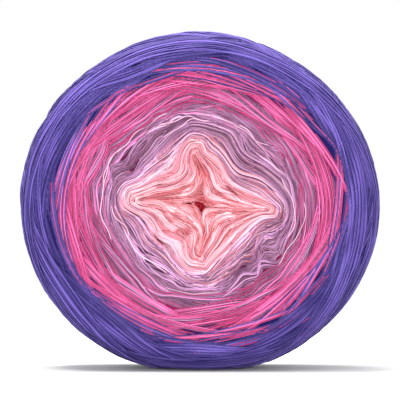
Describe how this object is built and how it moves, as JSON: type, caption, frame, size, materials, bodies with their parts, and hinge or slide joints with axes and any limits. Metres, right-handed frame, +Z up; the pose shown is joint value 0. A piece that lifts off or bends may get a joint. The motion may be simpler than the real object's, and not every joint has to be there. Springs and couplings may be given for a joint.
{
  "type": "yarn cake",
  "caption": "Flat round cake of wound gradient yarn standing on its rim, with purple outside, pink and lilac rings and a slumped pale pink centre.",
  "frame": {"origin": "on the surface under the middle of the cake, at the centre of its flattened foot", "axes": "+X to the right of the front end face, +Y along the winding axis from the front end face to the back one, +Z up"},
  "size_m": [0.1565, 0.0834, 0.1466],
  "materials": {
    "yarn_purple": "soft matt untwisted cotton and acrylic strands",
    "yarn_hot_pink": "soft matt untwisted cotton and acrylic strands",
    "yarn_lilac": "soft matt untwisted cotton and acrylic strands",
    "yarn_pale_pink": "soft matt untwisted cotton and acrylic strands",
    "yarn_peach_pink": "soft matt untwisted cotton and acrylic strands"
  },
  "bodies": {
    "root": {"yarn_cake": "yarn_purple"}
  },
  "joints": []
}
